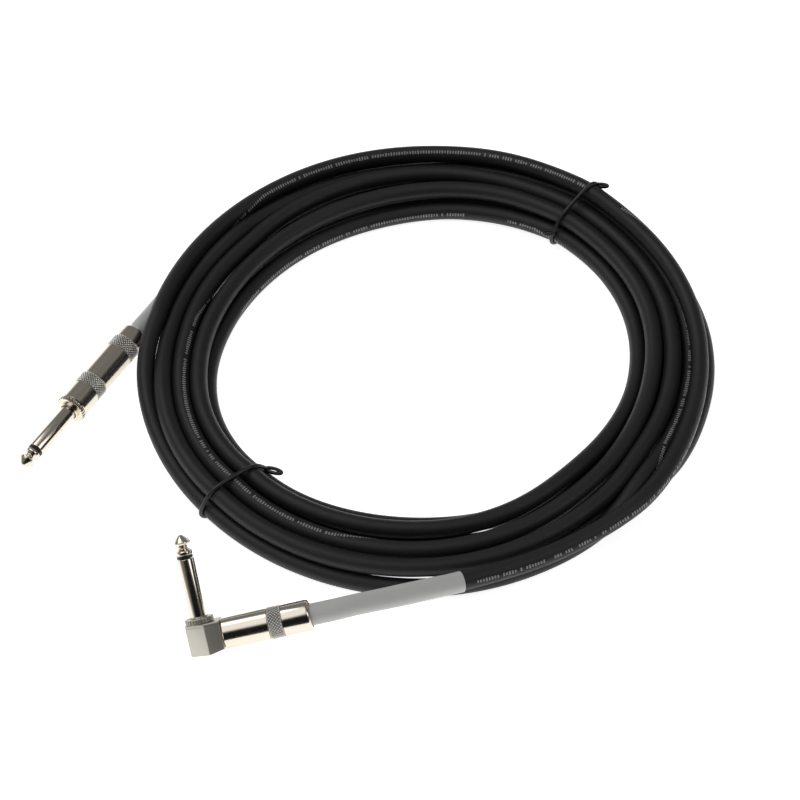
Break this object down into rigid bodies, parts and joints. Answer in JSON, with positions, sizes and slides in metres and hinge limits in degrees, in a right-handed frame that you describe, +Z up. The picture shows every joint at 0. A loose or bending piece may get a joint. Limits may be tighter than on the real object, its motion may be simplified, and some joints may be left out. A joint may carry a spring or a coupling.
{
  "type": "instrument cable",
  "caption": "Coiled instrument cable with a straight and a right-angle 6.35 mm plug, knurled screw barrels, grey boots and two wire ties.",
  "frame": {"origin": "on the surface that the coil rests on, under the middle of the bundle at the coil's front; the coil's centre is 98.5 mm from it on +Y", "axes": "+Z up; +Y from the coil's front to its back; +X to the right, so the straight plug is at -X and the right-angle plug at -X, -Y"},
  "size_m": [0.2719, 0.2591, 0.0346],
  "materials": {
    "jacket": "satin black PVC",
    "nickel": "bright nickel plating",
    "black_plastic": "moulded",
    "tie": "coated wire",
    "boot": "matt heat-shrink sleeving",
    "liner": "thin sleeve",
    "phenolic": "pressed board",
    "brass": "stamped",
    "copper": "twisted strands",
    "core": "wire insulation"
  },
  "bodies": {
    "root": {"cable_coil": "jacket", "far_tie": "tie", "near_tie": "tie", "straight_tip": "nickel", "straight_tip_insulator": "black_plastic", "straight_sleeve": "nickel", "straight_body": "nickel", "straight_ground_clamp": "nickel", "straight_rear_insulator": "phenolic", "straight_tip_terminal": "brass", "straight_core_wire": "core", "straight_shield_drain": "copper", "straight_boot": "boot", "straight_cable_end": "jacket", "angle_tip": "nickel", "angle_tip_insulator": "black_plastic", "angle_sleeve": "nickel", "angle_collar": "nickel", "angle_elbow": "nickel", "angle_elbow_cap": "nickel", "angle_ground_clamp": "nickel", "angle_rear_insulator": "phenolic", "angle_tip_terminal": "brass", "angle_core_wire": "core", "angle_shield_drain": "copper", "angle_boot": "boot", "angle_cable_end": "jacket"},
    "straight_liner": {"straight_liner": "liner"},
    "straight_barrel": {"straight_barrel": "nickel"},
    "angle_liner": {"angle_liner": "liner"},
    "angle_barrel": {"angle_barrel": "nickel"}
  },
  "joints": [
    {"name": "straight_barrel_travel", "type": "slide", "parent": "root", "child": "straight_liner", "axis": [0.5101, 0.8601, 0], "range_m": [0, 0.0051]},
    {"name": "straight_barrel_turn", "type": "hinge", "parent": "straight_liner", "child": "straight_barrel", "pos_m": [-0.13867, 0.07291, 0.00615], "axis": [0.5101, 0.8601, 0], "range_deg": [0, 1800]},
    {"name": "angle_barrel_travel", "type": "slide", "parent": "root", "child": "angle_liner", "axis": [0.9748, 0.125, 0.185], "range_m": [0, 0.0051]},
    {"name": "angle_barrel_turn", "type": "hinge", "parent": "angle_liner", "child": "angle_barrel", "pos_m": [-0.07529, -0.03656, 0.00969], "axis": [0.9748, 0.125, 0.185], "range_deg": [0, 1800]}
  ],
  "couplings": [
    {"joint": "straight_barrel_travel", "follows": "straight_barrel_turn", "m_per_rad": 0.00015915},
    {"joint": "angle_barrel_travel", "follows": "angle_barrel_turn", "m_per_rad": 0.00015915}
  ]
}
